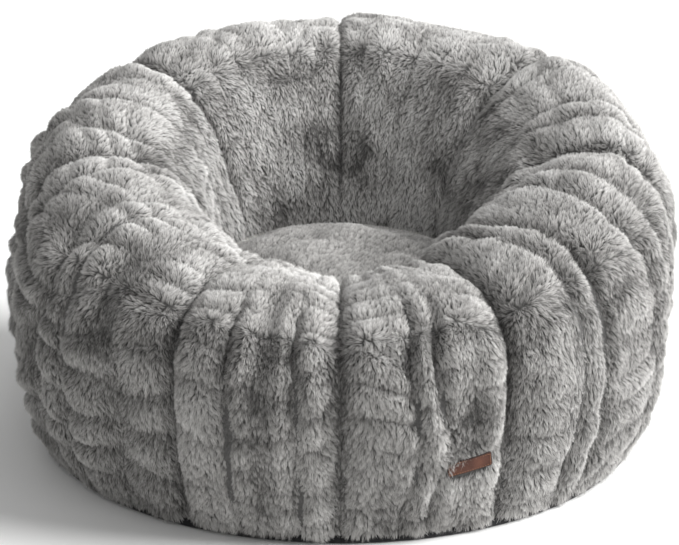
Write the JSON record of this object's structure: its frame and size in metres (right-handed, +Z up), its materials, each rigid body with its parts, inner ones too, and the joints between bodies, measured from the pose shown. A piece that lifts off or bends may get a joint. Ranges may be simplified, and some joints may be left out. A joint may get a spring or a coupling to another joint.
{
  "type": "bean bag chair",
  "caption": "Round low seat of loose fill in a plush fur cover: a padded ring, low in front and high behind, round a domed seat on a flat base, with a zip at the rear.",
  "frame": {"origin": "centre of the flat underside, on the floor", "axes": "+Z up, the low front of the seat faces -Y, +X is to the right of someone facing that front"},
  "size_m": [0.9416, 0.9378, 0.5305],
  "materials": {
    "fur": "long ribbed faux rabbit fur, grey",
    "base_fabric": "black woven base cloth",
    "lining": "plain off-white woven polyester",
    "leather": "brown grained leather",
    "thread": "waxed brown thread",
    "satin": "white satin",
    "zip_tape": "dark grey woven zip tape",
    "liner_zip_tape": "off-white woven zip tape",
    "zip_coil": "nylon coil",
    "zip_metal": "nickel-plated zinc",
    "foam": "shredded foam"
  },
  "bodies": {
    "root": {"fur_front_left": "fur", "fur_front_right": "fur", "fur_arm_left": "fur", "fur_arm_right": "fur", "fur_shoulder_left": "fur", "fur_shoulder_right": "fur", "fur_back_left": "fur", "fur_back_right": "fur", "fur_seat": "fur", "base_panel": "base_fabric", "cover_inner_wall": "lining", "label_patch": "leather", "label_stitches": "thread", "care_label": "satin", "cover_zip_tape_upper": "zip_tape", "cover_zip_tape_lower": "zip_tape", "cover_zip_coils": "zip_coil", "cover_zip_stops": "zip_metal", "liner_front": "lining", "liner_left": "lining", "liner_right": "lining", "liner_back": "lining", "liner_base": "lining", "liner_inner_wall": "lining", "ring_fill": "foam", "liner_zip_tape_upper": "liner_zip_tape", "liner_zip_tape_lower": "liner_zip_tape", "liner_zip_coils": "zip_coil", "liner_zip_stops": "zip_metal", "seat_liner_top": "lining", "seat_liner_band": "lining", "seat_liner_base": "lining", "seat_fill": "foam"},
    "cover_slider": {"cover_zip_slider": "zip_metal"},
    "cover_pull": {"cover_zip_pull": "zip_metal"},
    "liner_slider": {"liner_zip_slider": "zip_metal"}
  },
  "joints": [
    {"name": "cover_zip_run", "type": "hinge", "parent": "root", "child": "cover_slider", "pos_m": [0, 0, 0.0206], "axis": [0, 0, 1], "range_deg": [0, 98.8]},
    {"name": "cover_pull_swing", "type": "hinge", "parent": "cover_slider", "child": "cover_pull", "pos_m": [0.32861, 0.28184, 0.0206], "axis": [0, 0, 1], "range_deg": [0, 175]},
    {"name": "liner_zip_run", "type": "hinge", "parent": "root", "child": "liner_slider", "pos_m": [0, 0, 0.086], "axis": [0, 0, 1], "range_deg": [0, 98.8]}
  ]
}
